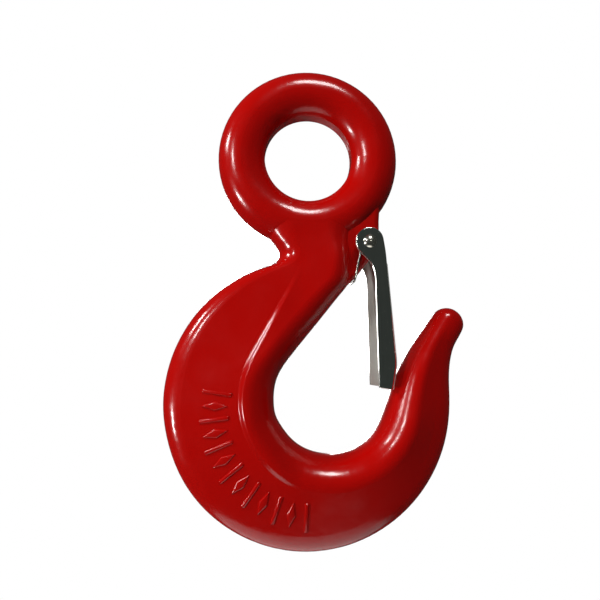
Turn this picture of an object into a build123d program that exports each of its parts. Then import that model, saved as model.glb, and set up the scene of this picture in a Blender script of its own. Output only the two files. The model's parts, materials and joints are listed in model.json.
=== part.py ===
from build123d import *
from math import acos, atan2, cos, degrees, hypot, pi, radians, sin, sqrt
import os

os.makedirs("parts", exist_ok=True)

# All lengths are millimetres. The origin is the centre of the eye bore; +Z is up, +X is the
# side of the hook point, and the bore runs along Y.

# ---- eye ----
EYE_BORE_R = 15.0
EYE_OUTER_R = 30.9
EYE_THICKNESS = 15.6
EYE_LAND_LENGTH = 5.0

# ---- bowl and shank ----
BOWL_OUTER_CENTRE = (0.0, -83.6)
BOWL_OUTER_R = 48.1
BOWL_INNER_CENTRE = (7.2, -81.6)
BOWL_INNER_R = 18.8
TIP_DOME_HEIGHT = 5.4
ROUND_ALONG = 0.63
ROUND_ACROSS = 0.51

# ---- lug for the latch ----
PIN = (20.0, -29.9)
LUG_HALF = 5.1
LUG_END_R = 4.1
LUG_EDGE_ROUND = 2.2
LUG_BORE_R = 1.56

# ---- rivet ----
RIVET_R = 1.5
RIVET_HEAD_R = 2.15
RIVET_HEAD_HEIGHT = 0.95

# ---- latch: a stamped channel ----
SHEET = 1.1
EDGE_ROLL = 0.3
LATCH_HALF = 9.2
LATCH_LEAN_DEG = 2.7
LATCH_LENGTH = 49.3
EAR_R = 4.7
WEB_TOP = 7.6
WEB_TOP_U = 5.8
WEB_OUTER = 7.1
TOE_START = 41.0
TOE_U = 5.4
KNEE_R = 20.0
BEND_R = 2.4

# ---- spring ----
WIRE_R = 0.35
COIL_R = 2.15
COIL_TURNS = 2.5
COIL_START_Y = 5.6
COIL_END_Y = 7.6


def bowl_outer(angle_deg):
    """A point on the outer outline of the bowl, at an angle from +X about its centre."""
    a = radians(angle_deg)
    return (
        BOWL_OUTER_CENTRE[0] + BOWL_OUTER_R * cos(a),
        BOWL_OUTER_CENTRE[1] + BOWL_OUTER_R * sin(a),
    )


def bowl_inner(angle_deg):
    """A point on the inner outline of the bowl, at an angle from +X about its centre."""
    a = radians(angle_deg)
    return (
        BOWL_INNER_CENTRE[0] + BOWL_INNER_R * cos(a),
        BOWL_INNER_CENTRE[1] + BOWL_INNER_R * sin(a),
    )


def bowl_across(angle_deg):
    """The outer point straight behind an inner point, on a ray from the inner centre."""
    a = radians(angle_deg)
    gap_x = BOWL_INNER_CENTRE[0] - BOWL_OUTER_CENTRE[0]
    gap_z = BOWL_INNER_CENTRE[1] - BOWL_OUTER_CENTRE[1]
    along = gap_x * cos(a) + gap_z * sin(a)
    reach = -along + sqrt(along**2 - gap_x**2 - gap_z**2 + BOWL_OUTER_R**2)
    return (
        BOWL_INNER_CENTRE[0] + reach * cos(a),
        BOWL_INNER_CENTRE[1] + reach * sin(a),
    )


# Each station is the inner point, the outer point, then for the inner and for the outer side
# how far its round reaches in and the half thickness where the round ends.
STATIONS = [
    ((18.0, -20.0), (-18.0, -20.0), 11.5, 6.9, 11.5, 6.9),
    ((17.6, -22.0), (-17.4, -22.0), 11.5, 7.62, 11.5, 7.62),
    ((16.6, -24.0), (-16.2, -24.0), 10.8, 7.82, 10.8, 7.8),
    ((15.4, -26.2), (-14.4, -26.2), 9.4, 7.95, 9.6, 7.8),
    ((14.6, -28.8), (-12.5, -28.8), 7.8, 8.2, 8.0, 7.82),
    ((14.8, -32.6), (-9.9, -32.8), 6.8, 8.8, 6.8, 8.0),
    ((14.8, -37.0), (-11.3, -36.2), 7.0, 9.3, 6.8, 8.1),
    ((14.4, -41.6), bowl_outer(110), 7.6, 9.6, 6.8, 8.0),
    ((11.0, -46.9), bowl_outer(121), 8.4, 9.9, 6.8, 7.9),
    ((6.0, -53.1), bowl_outer(133), 9.0, 10.2, 6.8, 7.7),
    ((0.0, -60.5), bowl_outer(146), 9.5, 10.5, 6.8, 7.5),
    ((-5.4, -67.2), bowl_outer(158), 10.0, 10.8, 6.8, 7.3),
    (bowl_inner(160), bowl_outer(170), 10.4, 11.0, 6.8, 7.1),
]
for angle in (184, 208, 232, 256, 280, 304, 324, 340):
    STATIONS.append((bowl_inner(angle), bowl_across(angle), 10.4, 11.2, 6.6, 7.0))
STATIONS += [
    ((28.0, -79.6), (48.2, -82.9), 9.0, 9.6, 6.2, 6.6),
    ((31.4, -71.0), (48.2, -75.0), 8.0, 8.3, 5.8, 6.3),
    ((35.6, -64.2), (48.9, -68.6), 6.4, 6.9, 5.4, 5.9),
    ((39.6, -58.8), (50.4, -64.0), 5.5, 5.8, 5.2, 5.4),
    ((43.4, -53.7), (52.7, -60.0), 5.1, 5.0, 5.1, 4.9),
]


def station_plane(inner, outer):
    """The plane of one cross-section: x runs from the inner to the outer point, y is depth."""
    run = Vector(outer[0] - inner[0], 0, outer[1] - inner[1]).normalized()
    return Plane(
        origin=(inner[0], 0, inner[1]),
        x_dir=run,
        z_dir=run.cross(Vector(0, 1, 0)),
    )


def side_round(end, apex, flank):
    """Control points of a half round: from the end of a flank, over the apex, to its mirror."""
    pull = Vector(end) + Vector(flank).normalized() * (ROUND_ALONG * abs(apex - end[0]))
    crown = (32 * apex - 2 * end[0] - 10 * pull.X) / 20
    lift = ROUND_ACROSS * end[1]
    return [
        (end[0], end[1]), (pull.X, pull.Y), (crown, lift),
        (crown, -lift), (pull.X, -pull.Y), (end[0], -end[1]),
    ]


def body_section(inner, outer, in_reach, in_half, out_reach, out_half):
    """A cross-section of the forging: a round at each side joined by straight flanks."""
    width = hypot(outer[0] - inner[0], outer[1] - inner[1])
    near = (in_reach, in_half)
    far = (width - out_reach, out_half)
    fall = (far[0] - near[0], far[1] - near[1])
    with BuildSketch(station_plane(inner, outer)) as section:
        with BuildLine():
            Line(near, far)
            Bezier(*side_round(far, width, fall))
            Line((far[0], -far[1]), (near[0], -near[1]))
            Bezier(*reversed(side_round(near, 0, (-fall[0], -fall[1]))))
        make_face()
    return section.sketch


def dome_stations(last, height, turns_deg):
    """Shrinking stations past the last one, so that the point of the hook ends in a dome."""
    inner, outer, *rounds = last
    middle = ((inner[0] + outer[0]) / 2, (inner[1] + outer[1]) / 2)
    normal = station_plane(inner, outer).z_dir
    found = []
    for turn in turns_deg:
        lift = height * sin(radians(turn))
        shrink = cos(radians(turn))
        centre = (middle[0] + normal.X * lift, middle[1] + normal.Z * lift)
        ends = [
            (centre[0] + (p[0] - middle[0]) * shrink, centre[1] + (p[1] - middle[1]) * shrink)
            for p in (inner, outer)
        ]
        found.append((*ends, *[size * shrink for size in rounds]))
    return found


STATIONS += dome_stations(STATIONS[-1], TIP_DOME_HEIGHT, (24, 44, 60, 73, 83.5))

# ---------------------------------------------------------------- lug
THROAT_DIR = Vector(-0.633, -0.774)
THROAT_NORMAL = Vector(0.774, -0.633)
LUG_LOW = (PIN[0] + LUG_END_R * THROAT_NORMAL.X, PIN[1] + LUG_END_R * THROAT_NORMAL.Y)
LUG_BEND = (LUG_LOW[0] + 11 * THROAT_DIR.X, LUG_LOW[1] + 11 * THROAT_DIR.Y)
LUG_FOOT = (
    LUG_LOW[0] + 24 * THROAT_DIR.X - 4.5 * THROAT_NORMAL.X,
    LUG_LOW[1] + 24 * THROAT_DIR.Y - 4.5 * THROAT_NORMAL.Y,
)

with BuildPart() as lug:
    with BuildSketch(Plane.XZ):
        with BuildLine():
            Line((2, -44), (2, -20))
            Line((2, -20), (18, -8))
            Line((18, -8), (25.0, -8))
            Line((25.0, -8), (PIN[0] + LUG_END_R, -22.0))
            Line((PIN[0] + LUG_END_R, -22.0), (PIN[0] + LUG_END_R, PIN[1]))
            ThreePointArc(
                (PIN[0] + LUG_END_R, PIN[1]),
                (PIN[0] + LUG_END_R * cos(radians(-20)), PIN[1] + LUG_END_R * sin(radians(-20))),
                LUG_LOW,
            )
            Line(LUG_LOW, LUG_BEND)
            TangentArc(LUG_BEND, LUG_FOOT, tangent=THROAT_DIR)
            Line(LUG_FOOT, (2, -44))
        make_face()
    extrude(amount=LUG_HALF, both=True)
    rim = lug.edges().filter_by(lambda e: abs(abs(e.center().Y) - LUG_HALF) < 0.01)
    fillet(rim.filter_by(lambda e: e.center().X > 15), radius=LUG_EDGE_ROUND)

# ---------------------------------------------------------------- hook body
EYE_MID_R = (EYE_BORE_R + EYE_OUTER_R) / 2
EYE_HALF = EYE_THICKNESS / 2

with BuildPart() as hook_body:
    # the shank, bowl and point, as one swept form through the stations
    loft([body_section(*station) for station in STATIONS])

    # the eye, turned about Y, with a trimmed land left in its bore
    with BuildSketch(Plane.XY):
        with BuildLine():
            Line((EYE_BORE_R, -EYE_LAND_LENGTH / 2), (EYE_BORE_R, EYE_LAND_LENGTH / 2))
            Spline(
                (EYE_BORE_R, EYE_LAND_LENGTH / 2),
                (EYE_MID_R - 3.4, EYE_HALF - 0.75),
                (EYE_MID_R, EYE_HALF),
                tangents=[(0.42, 1), (1, 0)],
            )
            EllipticalCenterArc(
                (EYE_MID_R, 0),
                EYE_OUTER_R - EYE_MID_R,
                EYE_HALF,
                start_angle=-90,
                arc_size=180,
            )
            Spline(
                (EYE_MID_R, -EYE_HALF),
                (EYE_MID_R - 3.4, -EYE_HALF + 0.75),
                (EYE_BORE_R, -EYE_LAND_LENGTH / 2),
                tangents=[(-1, 0), (-0.42, 1)],
            )
        make_face()
    revolve(axis=Axis.Y)

    add(lug.part)
    with Locations(Plane(origin=(PIN[0], 0, PIN[1]), z_dir=(0, 1, 0))):
        Cylinder(LUG_BORE_R, 4 * LUG_HALF, mode=Mode.SUBTRACT)
hook_body.part.label = "hook_body"
export_step(hook_body.part, "parts/hook_body.step")
print("hook volume cm3", hook_body.part.volume / 1000, len(hook_body.part.solids()))

# ---------------------------------------------------------------- latch
LEAN = radians(LATCH_LEAN_DEG)
ACROSS = Vector(cos(LEAN), 0, sin(LEAN))
DOWN = Vector(sin(LEAN), 0, -cos(LEAN))
PIN_POINT = Vector(PIN[0], 0, PIN[1])
side_plane = Plane(origin=PIN_POINT, x_dir=ACROSS, z_dir=(0, -1, 0))
HALF_IN = LATCH_HALF - SHEET


# where the ear's round runs out into the straight line down to the web
EAR_FRONT_DEG = degrees(atan2(-WEB_TOP, WEB_TOP_U) + acos(EAR_R / hypot(WEB_TOP, WEB_TOP_U)))


def ear_point(angle_deg):
    """A point on the round of the ear, in the side plane of the latch."""
    return (EAR_R * cos(radians(angle_deg)), EAR_R * sin(radians(angle_deg)))


with BuildPart() as latch:
    # the bent strip: two cheeks and the web that joins them, turned in at the toe
    with BuildLine(side_plane) as web_run:
        FilletPolyline(
            (WEB_TOP_U, -WEB_TOP), (WEB_OUTER, -TOE_START), (TOE_U, -LATCH_LENGTH),
            radius=KNEE_R,
        )
        Line((2 * WEB_TOP_U - WEB_OUTER, TOE_START - 2 * WEB_TOP), (WEB_TOP_U, -WEB_TOP))
    run = web_run.wire()
    with BuildSketch(Plane(origin=run @ 0, x_dir=(run % 0).cross(Vector(0, 1, 0)), z_dir=run % 0)):
        with BuildLine():
            Line((-14, LATCH_HALF), (-BEND_R, LATCH_HALF))
            RadiusArc((-BEND_R, LATCH_HALF), (0, LATCH_HALF - BEND_R), BEND_R)
            Line((0, LATCH_HALF - BEND_R), (0, BEND_R - LATCH_HALF))
            RadiusArc((0, BEND_R - LATCH_HALF), (-BEND_R, -LATCH_HALF), BEND_R)
            Line((-BEND_R, -LATCH_HALF), (-14, -LATCH_HALF))
            Line((-14, -LATCH_HALF), (-14, -HALF_IN))
            Line((-14, -HALF_IN), (-BEND_R, -HALF_IN))
            RadiusArc((-BEND_R, -HALF_IN), (-SHEET, BEND_R - LATCH_HALF), SHEET - BEND_R)
            Line((-SHEET, BEND_R - LATCH_HALF), (-SHEET, LATCH_HALF - BEND_R))
            RadiusArc((-SHEET, LATCH_HALF - BEND_R), (-BEND_R, HALF_IN), SHEET - BEND_R)
            Line((-BEND_R, HALF_IN), (-14, HALF_IN))
            Line((-14, HALF_IN), (-14, LATCH_HALF))
        make_face()
    sweep(path=run)
    # the side outline: a round ear, a waist, and a long blade
    with BuildSketch(side_plane) as outline:
        with BuildLine():
            ThreePointArc(ear_point(225), ear_point(115), ear_point(EAR_FRONT_DEG))
            Line(ear_point(EAR_FRONT_DEG), (WEB_TOP_U, -WEB_TOP))
            Line((WEB_TOP_U, -WEB_TOP), (12, -WEB_TOP))
            Line((12, -WEB_TOP), (12, -LATCH_LENGTH + 0.3))
            Line((12, -LATCH_LENGTH + 0.3), (0.3, -LATCH_LENGTH + 0.3))
            Line((0.3, -LATCH_LENGTH + 0.3), (1.2, -12.5))
            ThreePointArc((1.2, -12.5), (0.85, -9.6), (-0.2, -6.9))
            Line((-0.2, -6.9), ear_point(225))
        make_face()
        heel = outline.vertices().sort_by_distance((0.3, -LATCH_LENGTH))[0]
        fillet(heel, radius=1.0)
    extrude(amount=2 * LATCH_HALF, both=True, mode=Mode.INTERSECT)
    # no web between the ears, so they clear the lug
    with BuildSketch(side_plane):
        with Locations((0, 10 - WEB_TOP)):
            Rectangle(30, 20)
    extrude(amount=HALF_IN, both=True, mode=Mode.SUBTRACT)
    with Locations(Plane(origin=PIN_POINT, z_dir=(0, 1, 0))):
        Cylinder(RIVET_R, 4 * LATCH_HALF, mode=Mode.SUBTRACT)
    # the punch side of the sheet has rolled edges
    outer_rims = latch.edges().filter_by(lambda e: abs(abs(e.center().Y) - LATCH_HALF) < 0.01)
    fillet(outer_rims.filter_by(lambda e: e.length > 2.5), radius=EDGE_ROLL)
latch.part.label = "latch"
export_step(latch.part, "parts/latch.step")
print("latch volume", latch.part.volume, len(latch.part.solids()))

# ---------------------------------------------------------------- rivet
RIVET_RIM = LATCH_HALF + 0.15
DOME_R = (RIVET_HEAD_R**2 + RIVET_HEAD_HEIGHT**2) / (2 * RIVET_HEAD_HEIGHT)

with BuildPart() as latch_rivet:
    with BuildSketch(Plane(origin=PIN_POINT, x_dir=(1, 0, 0), z_dir=(0, 0, 1))):
        with BuildLine():
            Line((0, 0), (RIVET_R, 0))
            Line((RIVET_R, 0), (RIVET_R, LATCH_HALF))
            Line((RIVET_R, LATCH_HALF), (RIVET_HEAD_R, LATCH_HALF))
            Line((RIVET_HEAD_R, LATCH_HALF), (RIVET_HEAD_R, RIVET_RIM))
            RadiusArc((RIVET_HEAD_R, RIVET_RIM), (0, RIVET_RIM + RIVET_HEAD_HEIGHT), -DOME_R)
            Line((0, RIVET_RIM + RIVET_HEAD_HEIGHT), (0, 0))
        make_face()
    revolve(axis=Axis(PIN_POINT, (0, 1, 0)))
    mirror(about=Plane.XZ)
latch_rivet.part.label = "latch_rivet"
export_step(latch_rivet.part, "parts/latch_rivet.step")

# ---------------------------------------------------------------- spring
BAIL = Vector(15.25, 0, -42.85)
BAIL_CORNER = 1.2


def coil_point(turned):
    """A point of the coil, by the share of its turns already made from the shank side."""
    a = pi - 2 * pi * COIL_TURNS * turned
    depth = COIL_START_Y + (COIL_END_Y - COIL_START_Y) * turned
    return Vector(PIN[0] + COIL_R * cos(a), depth, PIN[1] + COIL_R * sin(a))


half = [
    Vector(BAIL.X, 0, BAIL.Z),
    Vector(BAIL.X, 2.2, BAIL.Z),
    Vector(BAIL.X, COIL_START_Y - BAIL_CORNER, BAIL.Z),
    Vector(BAIL.X + 0.08, COIL_START_Y - 0.32, BAIL.Z + 0.36),
    Vector(BAIL.X + 0.26, COIL_START_Y, BAIL.Z + BAIL_CORNER),
    Vector(BAIL.X + 1.1, COIL_START_Y, BAIL.Z + 5.0),
    Vector(BAIL.X + 1.96, COIL_START_Y, BAIL.Z + 9.2),
]
half += [coil_point(step / 30) for step in range(31)]
half += [
    PIN_POINT + ACROSS * 2.6 + DOWN * 4.0 + Vector(0, COIL_END_Y - 0.05, 0),
    PIN_POINT + ACROSS * 3.9 + DOWN * 9.0 + Vector(0, COIL_END_Y - 0.45, 0),
    PIN_POINT + ACROSS * 4.5 + DOWN * 13.5 + Vector(0, COIL_END_Y - 0.75, 0),
    PIN_POINT + ACROSS * 4.65 + DOWN * 17.0 + Vector(0, COIL_END_Y - 0.75, 0),
]

with BuildPart() as latch_spring:
    with BuildLine() as wire:
        Spline(*half, tangents=[(0, 1, 0), DOWN])
    with BuildSketch(Plane(origin=wire.line @ 0, z_dir=wire.line % 0)):
        Circle(WIRE_R)
    sweep(is_frenet=False)
    mirror(about=Plane.XZ)
latch_spring.part.label = "latch_spring"
export_step(latch_spring.part, "parts/latch_spring.step")
print("spring volume", latch_spring.part.volume)
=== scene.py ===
"""Looks of an eye hoist hook with a sprung latch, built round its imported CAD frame."""

import json
import math

import bmesh
import bpy
from mathutils import Matrix, Vector
from mathutils.bvhtree import BVHTree

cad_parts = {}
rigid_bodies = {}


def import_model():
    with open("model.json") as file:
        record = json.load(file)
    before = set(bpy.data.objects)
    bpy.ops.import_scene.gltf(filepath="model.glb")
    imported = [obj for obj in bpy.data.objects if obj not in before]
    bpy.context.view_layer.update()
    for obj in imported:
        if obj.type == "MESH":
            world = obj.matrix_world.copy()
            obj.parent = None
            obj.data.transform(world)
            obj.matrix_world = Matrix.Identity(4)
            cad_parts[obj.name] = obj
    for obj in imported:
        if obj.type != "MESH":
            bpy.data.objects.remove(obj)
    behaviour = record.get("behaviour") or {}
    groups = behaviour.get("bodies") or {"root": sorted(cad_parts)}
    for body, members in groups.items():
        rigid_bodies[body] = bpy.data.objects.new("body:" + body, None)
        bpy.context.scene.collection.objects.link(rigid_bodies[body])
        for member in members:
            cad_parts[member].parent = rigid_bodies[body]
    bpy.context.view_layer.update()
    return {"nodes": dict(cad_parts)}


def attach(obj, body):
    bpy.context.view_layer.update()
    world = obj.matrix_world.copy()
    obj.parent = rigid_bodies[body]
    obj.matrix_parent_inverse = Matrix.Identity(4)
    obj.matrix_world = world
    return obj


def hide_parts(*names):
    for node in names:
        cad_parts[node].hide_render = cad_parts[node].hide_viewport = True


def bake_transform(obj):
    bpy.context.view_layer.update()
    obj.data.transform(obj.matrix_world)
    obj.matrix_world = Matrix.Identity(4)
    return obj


bl_info = {
    "name": "Eye Hook With Latch",
    "version": (1, 0, 0),
    "blender": (4, 5, 0),
    "location": "View3D > Sidebar > Eye Hook",
    "description": "Builds the finish, latch spring and stage of an eye hoist hook",
    "category": "Object",
}

MM = 0.001
HOOK_BODY = "hook"

# Places in the CAD frame, in millimetres: the rivet's axis and the centre of the bowl's outside.
PIN = Vector((20.0, 0.0, -29.9))
BOWL_CENTRE = Vector((0.0, 0.0, -83.6))

# The shoulder round the thick inside of the bowl, in millimetres: its centre and radius, half the
# width of its slope, the stretch along X where it fades out, and the way it runs up the shank.
SHOULDER_CENTRE = Vector((7.2, 0.0, -81.6))
SHOULDER_R = 29.4
SHOULDER_SLOPE = 0.9
SHOULDER_FADE = (-14.0, -2.0)
SHANK_WAY = Vector((0.48, 0.0, 0.877))

# Waves in a metre of each noise pattern, from its spacing.
PAINT_RIPPLE = 700.0  # 1.4 mm apart
FORGING_DENTS = 140.0  # 7 mm apart
ROLLING_LINES = 2600.0  # 0.4 mm apart across the sheet, coarser than real ones so that they show
ROLLING_STRETCH = 0.06  # the lines are about 17 times as long as they are wide
PLATING_CLOUD = 220.0  # 4.5 mm apart
STEEL_CLOUD = 900.0  # 1.1 mm apart

CHANNEL_INSIDE = 8.3  # the latch's cheeks lie outside this depth, in millimetres

# The row of forging marks, in millimetres and degrees about the bowl's centre.
MARK_ANGLES = (172, 268)
MARK_RADIUS = 30.0
MARK_DRIFT = 5.2  # the row's end lies this much further out than its start
MARK_ROOT = 0.6  # how deep a mark's hidden root goes
MARK_EDGE = 0.28
MARK_DRAFT = (0.92, 0.7, 1.0)
BAR = (5.2, 0.75)
LOZENGE = (4.6, 1.8)
RAY_START = 0.05  # metres out from the middle, well clear of the bowl's side

# The spring, in millimetres and degrees.
LATCH_LEAN = 2.7
BAIL = Vector((15.25, 0, -42.85))
COIL_START_Y = 5.6
COIL_LENGTH = 2.0
COIL_STEPS = 90
BAIL_CORNER = (
    (0.0, 4.4, 0.0), (0.02, 4.9, 0.1), (0.08, 5.28, 0.36), (0.16, 5.52, 0.75), (0.26, 5.6, 1.2),
)
SPRING_LEG = ((2.6, 4.0, 7.55), (3.9, 9.0, 7.15), (4.5, 13.5, 6.85), (4.65, 17.0, 6.85))

# The stage, in metres and watts. Each lamp has its name, place, aim, size and power.
FLOOR_RADIUS = 0.3
FLOOR_Z = -0.5
HOOK_MIDDLE = (0, 0, -0.06)
LAMPS = (
    ("key_high", (-0.635, -0.135, 0.315), HOOK_MIDDLE, (0.10, 0.12), 2.0),
    ("key_low", (-0.677, -0.274, -0.229), HOOK_MIDDLE, (0.08, 0.12), 2.2),
    ("key_front", (-0.498, -0.498, 0.197), HOOK_MIDDLE, (0.06, 0.12), 1.5),
    ("top", (0.12, -0.52, 0.74), HOOK_MIDDLE, (0.30, 0.20), 5.2),
    ("back", (-0.05, 0.85, 0.04), HOOK_MIDDLE, (0.30, 0.30), 3.5),
    ("floor_wash", (0, 0, -0.24), (0, 0, FLOOR_Z), (0.4, 0.4), 1.1),
)
ROOM_COLOUR = (0.7, 0.8, 0.76, 1)
ROOM_STRENGTH = 0.05
CAMERA_SPOT = Vector((-14.52, -198.0, -65.73))
CAMERA_AIM = Vector((-2.72, 0.0, -48.83))


for leftover in list(bpy.data.objects):
    bpy.data.objects.remove(leftover)
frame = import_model()


class EyeHookSettings(bpy.types.PropertyGroup):
    """Sizes and colours that a user would change."""

    paint_colour: bpy.props.StringProperty(
        name="Paint", description="Enamel colour of the forging, sRGB hex", default="#AD0502"
    )
    zinc_colour: bpy.props.StringProperty(
        name="Zinc", description="Plating colour of the latch, sRGB hex", default="#DCDDD6"
    )
    wire_colour: bpy.props.StringProperty(
        name="Wire", description="Colour of the spring wire, sRGB hex", default="#A9A69C"
    )
    floor_colour: bpy.props.StringProperty(
        name="Floor", description="Colour of the studio floor, sRGB hex", default="#F4F4F2"
    )
    wire_radius: bpy.props.FloatProperty(
        name="Wire radius", description="Radius of the spring wire", default=0.35 * MM,
        unit="LENGTH", subtype="DISTANCE",
    )
    coil_radius: bpy.props.FloatProperty(
        name="Coil radius", description="Mean radius of the spring's coils", default=2.15 * MM,
        unit="LENGTH", subtype="DISTANCE",
    )
    coil_turns: bpy.props.FloatProperty(
        name="Coil turns", description="Turns of each coil, a half more than a whole number",
        default=2.5,
    )
    mark_height: bpy.props.FloatProperty(
        name="Mark height", description="How far the forging marks stand up", default=0.45 * MM,
        unit="LENGTH", subtype="DISTANCE",
    )
    mark_count: bpy.props.IntProperty(
        name="Marks", description="Forging marks along each side of the bowl", default=13
    )
    shoulder_drop: bpy.props.FloatProperty(
        name="Shoulder", description="Drop from the thick inner round to the flank",
        default=0.85 * MM, unit="LENGTH", subtype="DISTANCE",
    )
    orange_peel: bpy.props.FloatProperty(
        name="Orange peel", description="Depth of the paint's fine ripple", default=0.03 * MM,
        unit="LENGTH", subtype="DISTANCE",
    )


# ------------------------------------------------------------------ small helpers


def linear(hex_colour):
    """An sRGB hex colour as linear RGBA."""
    out = []
    for at in (1, 3, 5):
        c = int(hex_colour[at : at + 2], 16) / 255
        out.append(c / 12.92 if c <= 0.04045 else ((c + 0.055) / 1.055) ** 2.4)
    return (*out, 1.0)


def add_node(tree, kind, inputs=None, **settings):
    """Adds a node, sets its properties, and fills or links its inputs."""
    node = tree.nodes.new(kind)
    for key, value in settings.items():
        setattr(node, key, value)
    for key, value in (inputs or {}).items():
        if isinstance(value, bpy.types.NodeSocket):
            tree.links.new(value, node.inputs[key])
        else:
            node.inputs[key].default_value = value
    return node


def new_material(name):
    """An empty node material and its Principled shader, already joined to the output."""
    material = bpy.data.materials.new(name)
    material.use_nodes = True
    tree = material.node_tree
    tree.nodes.clear()
    shader = add_node(tree, "ShaderNodeBsdfPrincipled")
    out = add_node(tree, "ShaderNodeOutputMaterial")
    tree.links.new(shader.outputs[0], out.inputs[0])
    return material, tree, shader


def place(name, bm, material, body):
    """Turns a bmesh in millimetres into a finished piece that rides on a CAD body."""
    bmesh.ops.recalc_face_normals(bm, faces=bm.faces[:])
    bmesh.ops.scale(bm, vec=(MM, MM, MM), verts=bm.verts[:])
    mesh = bpy.data.meshes.new(name)
    bm.to_mesh(mesh)
    bm.free()
    for face in mesh.polygons:
        face.use_smooth = True
    mesh.materials.append(material)
    piece = bpy.data.objects.new(name, mesh)
    bpy.context.collection.objects.link(piece)
    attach(piece, body)
    return piece


def paint_node(node, material):
    """Gives a CAD node that keeps its shape one material in all its slots."""
    obj = frame["nodes"][node]
    obj.data.materials.clear()
    obj.data.materials.append(material)
    return obj


# ------------------------------------------------------------------ materials


def enamel(settings):
    """Gloss enamel over a steel forging: wet highlights, broken up by ripple and dents."""
    material, tree, shader = new_material("gloss_enamel_on_forging")
    coords = add_node(tree, "ShaderNodeTexCoord").outputs["Object"]
    # the fine ripple of sprayed paint
    peel = add_node(
        tree, "ShaderNodeTexNoise", {"Vector": coords, "Scale": PAINT_RIPPLE, "Detail": 2.0}
    )
    # shallow hammer and scale marks of the forging
    dents = add_node(
        tree, "ShaderNodeTexNoise", {"Vector": coords, "Scale": FORGING_DENTS, "Detail": 3.0}
    )
    fine = add_node(
        tree, "ShaderNodeBump",
        {"Strength": 0.5, "Distance": settings.orange_peel, "Height": peel.outputs["Fac"]},
    )
    broad = add_node(
        tree, "ShaderNodeBump",
        {"Strength": 0.5, "Distance": 0.25 * MM, "Height": dents.outputs["Fac"],
         "Normal": fine.outputs["Normal"]},
    )
    # the low shoulder where the flank drops off the thick inside of the bowl: relief in the
    # paint only, because the forging's own mesh has a straight flank there
    flat = add_node(tree, "ShaderNodeVectorMath", {0: coords, 1: (1, 0, 1)}, operation="MULTIPLY")
    arm = add_node(
        tree, "ShaderNodeVectorMath", {0: flat.outputs[0], 1: SHOULDER_CENTRE * MM},
        operation="SUBTRACT",
    ).outputs[0]
    along = add_node(
        tree, "ShaderNodeVectorMath", {0: arm, 1: SHANK_WAY}, operation="DOT_PRODUCT"
    ).outputs["Value"]
    along = add_node(tree, "ShaderNodeMath", {0: along, 1: 0.0}, operation="MAXIMUM").outputs[0]
    foot = add_node(
        tree, "ShaderNodeVectorMath", {0: SHANK_WAY, "Scale": along}, operation="SCALE"
    ).outputs[0]
    gap = add_node(
        tree, "ShaderNodeVectorMath", {0: arm, 1: foot}, operation="DISTANCE"
    ).outputs["Value"]
    drop = add_node(
        tree, "ShaderNodeMapRange",
        {"Value": gap, "From Min": (SHOULDER_R - SHOULDER_SLOPE) * MM,
         "From Max": (SHOULDER_R + SHOULDER_SLOPE) * MM, "To Min": 1.0, "To Max": 0.0},
        interpolation_type="SMOOTHSTEP",
    ).outputs["Result"]
    side = add_node(tree, "ShaderNodeSeparateXYZ", {"Vector": coords}).outputs["X"]
    left = add_node(
        tree, "ShaderNodeMapRange",
        {"Value": side, "From Min": SHOULDER_FADE[0] * MM, "From Max": SHOULDER_FADE[1] * MM,
         "To Min": 1.0, "To Max": 0.0},
        interpolation_type="SMOOTHSTEP",
    ).outputs["Result"]
    relief = add_node(tree, "ShaderNodeMath", {0: drop, 1: left}, operation="MULTIPLY").outputs[0]
    shoulder = add_node(
        tree, "ShaderNodeBump",
        {"Strength": 1.0, "Distance": settings.shoulder_drop, "Height": relief,
         "Normal": broad.outputs["Normal"]},
    )
    sheen = add_node(
        tree, "ShaderNodeMapRange",
        {"Value": dents.outputs["Fac"], "From Min": 0.3, "From Max": 0.7,
         "To Min": 0.14, "To Max": 0.22},
    )
    shader.inputs["Base Color"].default_value = linear(settings.paint_colour)
    shader.inputs["IOR"].default_value = 1.45
    tree.links.new(sheen.outputs["Result"], shader.inputs["Roughness"])
    tree.links.new(shoulder.outputs["Normal"], shader.inputs["Normal"])
    return material


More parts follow.
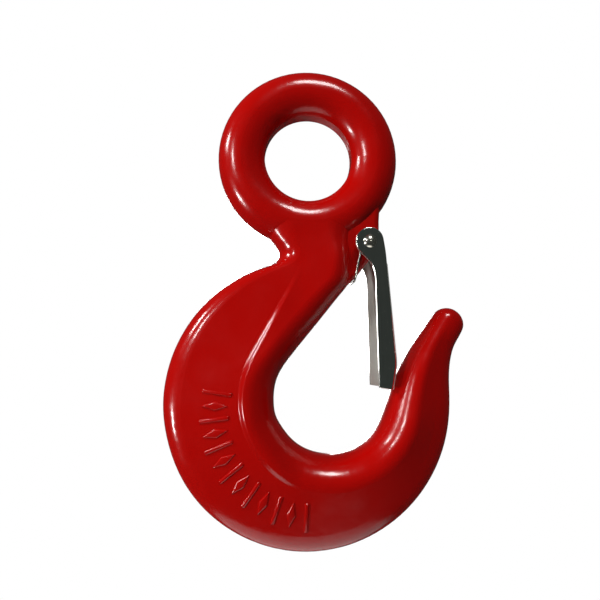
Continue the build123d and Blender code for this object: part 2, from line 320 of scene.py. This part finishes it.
def zinc(settings):
    """Bright zinc plate on cold-rolled sheet: a clear mirror with faint lines down it."""
    material, tree, shader = new_material("zinc_plated_sheet")
    coords = add_node(tree, "ShaderNodeTexCoord").outputs["Object"]
    along = add_node(
        tree, "ShaderNodeMapping", {"Vector": coords, "Scale": (1.0, 1.0, ROLLING_STRETCH)}
    ).outputs["Vector"]
    lines = add_node(
        tree, "ShaderNodeTexNoise", {"Vector": along, "Scale": ROLLING_LINES, "Detail": 2.0}
    )
    cloud = add_node(
        tree, "ShaderNodeTexNoise", {"Vector": coords, "Scale": PLATING_CLOUD, "Detail": 2.0}
    )
    bright = add_node(
        tree, "ShaderNodeMapRange",
        {"Value": cloud.outputs["Fac"], "From Min": 0.3, "From Max": 0.7,
         "To Min": 0.10, "To Max": 0.17},
    )
    # inside the channel the plating is dull: drawn as a pale matt coat, not as metal, so that
    # it stays light instead of mirroring the paint
    depth = add_node(tree, "ShaderNodeSeparateXYZ", {"Vector": coords}).outputs["Y"]
    reach = add_node(tree, "ShaderNodeMath", {0: depth}, operation="ABSOLUTE").outputs[0]
    inside = add_node(
        tree, "ShaderNodeMath", {0: reach, 1: CHANNEL_INSIDE * MM}, operation="LESS_THAN"
    ).outputs[0]
    rough = add_node(
        tree, "ShaderNodeMix", {"Factor": inside, "A": bright.outputs["Result"], "B": 0.5},
        data_type="FLOAT",
    )
    metal = add_node(
        tree, "ShaderNodeMix", {"Factor": inside, "A": 1.0, "B": 0.0}, data_type="FLOAT"
    )
    bump = add_node(
        tree, "ShaderNodeBump",
        {"Strength": 0.25, "Distance": 0.01 * MM, "Height": lines.outputs["Fac"]},
    )
    shader.inputs["Base Color"].default_value = linear(settings.zinc_colour)
    tree.links.new(metal.outputs["Result"], shader.inputs["Metallic"])
    tree.links.new(rough.outputs["Result"], shader.inputs["Roughness"])
    tree.links.new(bump.outputs["Normal"], shader.inputs["Normal"])
    return material


def steel(name, hex_colour, rough_low, rough_high):
    """Steel of a small turned or drawn part: a soft metallic shine, slightly uneven."""
    material, tree, shader = new_material(name)
    coords = add_node(tree, "ShaderNodeTexCoord").outputs["Object"]
    cloud = add_node(
        tree, "ShaderNodeTexNoise", {"Vector": coords, "Scale": STEEL_CLOUD, "Detail": 2.0}
    )
    rough = add_node(
        tree, "ShaderNodeMapRange",
        {"Value": cloud.outputs["Fac"], "From Min": 0.3, "From Max": 0.7,
         "To Min": rough_low, "To Max": rough_high},
    )
    shader.inputs["Base Color"].default_value = linear(hex_colour)
    shader.inputs["Metallic"].default_value = 1.0
    tree.links.new(rough.outputs["Result"], shader.inputs["Roughness"])
    return material


# ------------------------------------------------------------------ pieces


class OBJECT_OT_eye_hook_forging(bpy.types.Operator):
    """Paint the forging and raise its row of forging marks"""

    bl_idname = "object.eye_hook_forging"
    bl_label = "Forging"

    def execute(self, context):
        settings = context.scene.eye_hook
        paint = enamel(settings)
        hook = paint_node("hook_body", paint)
        tree = BVHTree.FromObject(hook, context.evaluated_depsgraph_get())
        high = settings.mark_height / MM
        shapes = (self.mark(False, BAR, high), self.mark(True, LOZENGE, high))
        first, last = MARK_ANGLES
        bm = bmesh.new()
        for side in (-1, 1):
            for at in range(settings.mark_count):
                share = at / (settings.mark_count - 1)
                angle = math.radians(first + (last - first) * share)
                out = Vector((math.cos(angle), 0, math.sin(angle)))
                spot = (BOWL_CENTRE + out * (MARK_RADIUS + MARK_DRIFT * share)) * MM
                start = Vector((spot.x, side * RAY_START, spot.z))
                hit, normal, _, _ = tree.ray_cast(start, Vector((0, -side, 0)))
                if hit is None:
                    raise RuntimeError("a forging mark misses the side of the bowl")
                across = out.cross(normal).normalized()
                along = across.cross(normal).normalized()
                turn = Matrix((along, across, normal)).transposed().to_4x4()
                shape = shapes[at % 2]
                bm.from_mesh(shape)
                bmesh.ops.transform(
                    bm,
                    matrix=Matrix.Translation(hit / MM - normal * MARK_ROOT) @ turn,
                    verts=bm.verts[-len(shape.vertices) :],
                )
        for shape in shapes:
            bpy.data.meshes.remove(shape)
        place("forging_marks", bm, paint, HOOK_BODY)
        return {"FINISHED"}

    @staticmethod
    def mark(pointed, half_size, height):
        """A raised bar or lozenge with drafted sides on its hidden root, in millimetres."""
        bm = bmesh.new()
        if pointed:
            bmesh.ops.create_circle(bm, cap_ends=True, segments=4, radius=1.0)
        else:
            bmesh.ops.create_grid(bm, x_segments=1, y_segments=1, size=1.0)
        bmesh.ops.scale(bm, vec=(*half_size, 1.0), verts=bm.verts[:])
        made = bmesh.ops.extrude_face_region(bm, geom=bm.faces[:])["geom"]
        top = [v for v in made if isinstance(v, bmesh.types.BMVert)]
        bmesh.ops.translate(bm, vec=(0, 0, height + MARK_ROOT), verts=top)
        bmesh.ops.scale(bm, vec=MARK_DRAFT, verts=top)
        bmesh.ops.bevel(
            bm, geom=bm.edges[:], offset=MARK_EDGE, segments=3, profile=0.5, affect="EDGES",
            material=-1,
        )
        mesh = bpy.data.meshes.new("mark")
        bm.to_mesh(mesh)
        bm.free()
        return mesh


class OBJECT_OT_eye_hook_latch(bpy.types.Operator):
    """Plate the latch and its rivet"""

    bl_idname = "object.eye_hook_latch"
    bl_label = "Latch and rivet"

    def execute(self, context):
        settings = context.scene.eye_hook
        paint_node("latch", zinc(settings))
        paint_node("latch_rivet", steel("plated_rivet_steel", "#D9D3C6", 0.16, 0.26))
        return {"FINISHED"}


class OBJECT_OT_eye_hook_spring(bpy.types.Operator):
    """Wind the latch spring, in two mirrored halves"""

    bl_idname = "object.eye_hook_spring"
    bl_label = "Latch spring"

    def execute(self, context):
        settings = context.scene.eye_hook
        metal = steel("drawn_spring_wire", settings.wire_colour, 0.2, 0.3)
        for side, name in ((-1, "spring_near"), (1, "spring_far")):
            piece = self.half(settings, side, name, metal)
            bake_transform(piece)
            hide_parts("latch_spring")
        return {"FINISHED"}

    @staticmethod
    def path(settings, side):
        """The wire's centre line in millimetres, from the bail's middle to the end of the leg."""
        radius = settings.coil_radius / MM
        turns = settings.coil_turns
        lean = math.radians(LATCH_LEAN)
        across = Vector((math.cos(lean), 0, math.sin(lean)))
        down = Vector((math.sin(lean), 0, -math.cos(lean)))
        x, y, z = BAIL_CORNER[-1]
        points = [BAIL + Vector((0, out, 0)) for out in (0, 1.1, 2.2, 3.3)]
        points += [BAIL + Vector(offset) for offset in BAIL_CORNER]
        points += [BAIL + Vector((x + 0.212 * rise, y, z + rise)) for rise in (2, 4, 6, 8)]
        for step in range(COIL_STEPS + 1):
            share = step / COIL_STEPS
            a = math.pi * (1 - 2 * turns * share)
            depth = COIL_START_Y + COIL_LENGTH * share
            points.append(PIN + Vector((radius * math.cos(a), depth, radius * math.sin(a))))
        for u, w, depth in SPRING_LEG:
            points.append(PIN + across * u + down * w + Vector((0, depth, 0)))
        return [Vector((p.x, p.y * side, p.z)) for p in points]

    def half(self, settings, side, name, metal):
        """One half of the spring as a mesh tube."""
        points = self.path(settings, side)
        curve = bpy.data.curves.new(name, "CURVE")
        curve.dimensions = "3D"
        curve.bevel_depth = settings.wire_radius
        curve.bevel_resolution = 3
        curve.resolution_u = 3
        curve.use_fill_caps = True
        spline = curve.splines.new("NURBS")
        spline.points.add(len(points) - 1)
        for point, target in zip(points, spline.points):
            target.co = (*(point * MM), 1.0)
        spline.order_u = 4
        spline.use_endpoint_u = True
        holder = bpy.data.objects.new(name + "_curve", curve)
        bpy.context.collection.objects.link(holder)
        graph = bpy.context.evaluated_depsgraph_get()
        mesh = bpy.data.meshes.new_from_object(holder.evaluated_get(graph))
        bpy.data.objects.remove(holder)
        mesh.name = name
        mesh.materials.clear()
        mesh.materials.append(metal)
        for face in mesh.polygons:
            face.use_smooth = True
        piece = bpy.data.objects.new(name, mesh)
        bpy.context.collection.objects.link(piece)
        return piece


# ------------------------------------------------------------------ stage


class OBJECT_OT_eye_hook_stage(bpy.types.Operator):
    """Add the floor, the studio light and the camera"""

    bl_idname = "object.eye_hook_stage"
    bl_label = "Stage"

    def execute(self, context):
        settings = context.scene.eye_hook
        self.floor(settings)
        self.lights(context.scene)
        self.camera(context.scene)
        context.scene.view_settings.view_transform = "Standard"
        return {"FINISHED"}

    @staticmethod
    def floor(settings):
        """A round of matt pale board, low enough not to tint the paint."""
        bm = bmesh.new()
        bmesh.ops.create_circle(bm, cap_ends=True, segments=96, radius=FLOOR_RADIUS)
        bmesh.ops.translate(bm, vec=(0, 0, FLOOR_Z), verts=bm.verts[:])
        mesh = bpy.data.meshes.new("studio_floor")
        bm.to_mesh(mesh)
        bm.free()
        material, tree, shader = new_material("pale_floor")
        shader.inputs["Base Color"].default_value = linear(settings.floor_colour)
        shader.inputs["Roughness"].default_value = 0.8
        mesh.materials.append(material)
        floor = bpy.data.objects.new("studio_floor", mesh)
        bpy.context.collection.objects.link(floor)

    @staticmethod
    def area(name, spot, aim, size, power):
        """A soft rectangular lamp that the camera can't see."""
        light = bpy.data.lights.new(name, "AREA")
        light.shape = "RECTANGLE"
        light.size, light.size_y = size
        light.energy = power
        lamp = bpy.data.objects.new(name, light)
        lamp.location = spot
        lamp.rotation_euler = (Vector(aim) - Vector(spot)).to_track_quat("-Z", "Y").to_euler()
        lamp.visible_camera = False
        bpy.context.collection.objects.link(lamp)

    def lights(self, scene):
        """The lamps, and a dim room that the camera sees as white."""
        for lamp in LAMPS:
            self.area(*lamp)
        world = bpy.data.worlds.new("studio")
        world.use_nodes = True
        tree = world.node_tree
        tree.nodes.clear()
        seen = add_node(tree, "ShaderNodeLightPath").outputs["Is Camera Ray"]
        room = add_node(
            tree, "ShaderNodeBackground", {"Color": ROOM_COLOUR, "Strength": ROOM_STRENGTH}
        )
        white = add_node(tree, "ShaderNodeBackground", {"Color": (1, 1, 1, 1), "Strength": 1.0})
        mix = add_node(
            tree, "ShaderNodeMixShader", {0: seen, 1: room.outputs[0], 2: white.outputs[0]}
        )
        add_node(tree, "ShaderNodeOutputWorld", {0: mix.outputs[0]})
        scene.world = world

    @staticmethod
    def camera(scene):
        """A camera close in front of the hook and a little below its middle."""
        data = bpy.data.cameras.new("camera")
        data.lens = 35.0
        data.sensor_width = 36.0
        data.clip_start = 0.01
        camera = bpy.data.objects.new("camera", data)
        spot = CAMERA_SPOT * MM
        aim = CAMERA_AIM * MM
        camera.location = spot
        camera.rotation_euler = (aim - spot).to_track_quat("-Z", "Y").to_euler()
        bpy.context.collection.objects.link(camera)
        scene.camera = camera


# ------------------------------------------------------------------ panel and registration


class VIEW3D_PT_eye_hook(bpy.types.Panel):
    """Lists the pieces of the eye hook"""

    bl_label = "Eye Hook"
    bl_idname = "VIEW3D_PT_eye_hook"
    bl_space_type = "VIEW_3D"
    bl_region_type = "UI"
    bl_category = "Eye Hook"

    def draw(self, context):
        layout = self.layout
        settings = context.scene.eye_hook
        for name in EyeHookSettings.__annotations__:
            layout.prop(settings, name)
        for operator in PIECES:
            layout.operator(operator.bl_idname)


PIECES = (
    OBJECT_OT_eye_hook_forging,
    OBJECT_OT_eye_hook_latch,
    OBJECT_OT_eye_hook_spring,
    OBJECT_OT_eye_hook_stage,
)
CLASSES = (EyeHookSettings, *PIECES, VIEW3D_PT_eye_hook)


def register():
    """Adds the settings, the operators and the panel."""
    for cls in CLASSES:
        bpy.utils.register_class(cls)
    bpy.types.Scene.eye_hook = bpy.props.PointerProperty(type=EyeHookSettings)


def unregister():
    """Takes them away again."""
    del bpy.types.Scene.eye_hook
    for cls in reversed(CLASSES):
        bpy.utils.unregister_class(cls)


def main():
    """Builds every piece and the stage."""
    register()
    bpy.ops.object.eye_hook_forging()
    bpy.ops.object.eye_hook_latch()
    bpy.ops.object.eye_hook_spring()
    bpy.ops.object.eye_hook_stage()


if __name__ == "__main__":
    main()
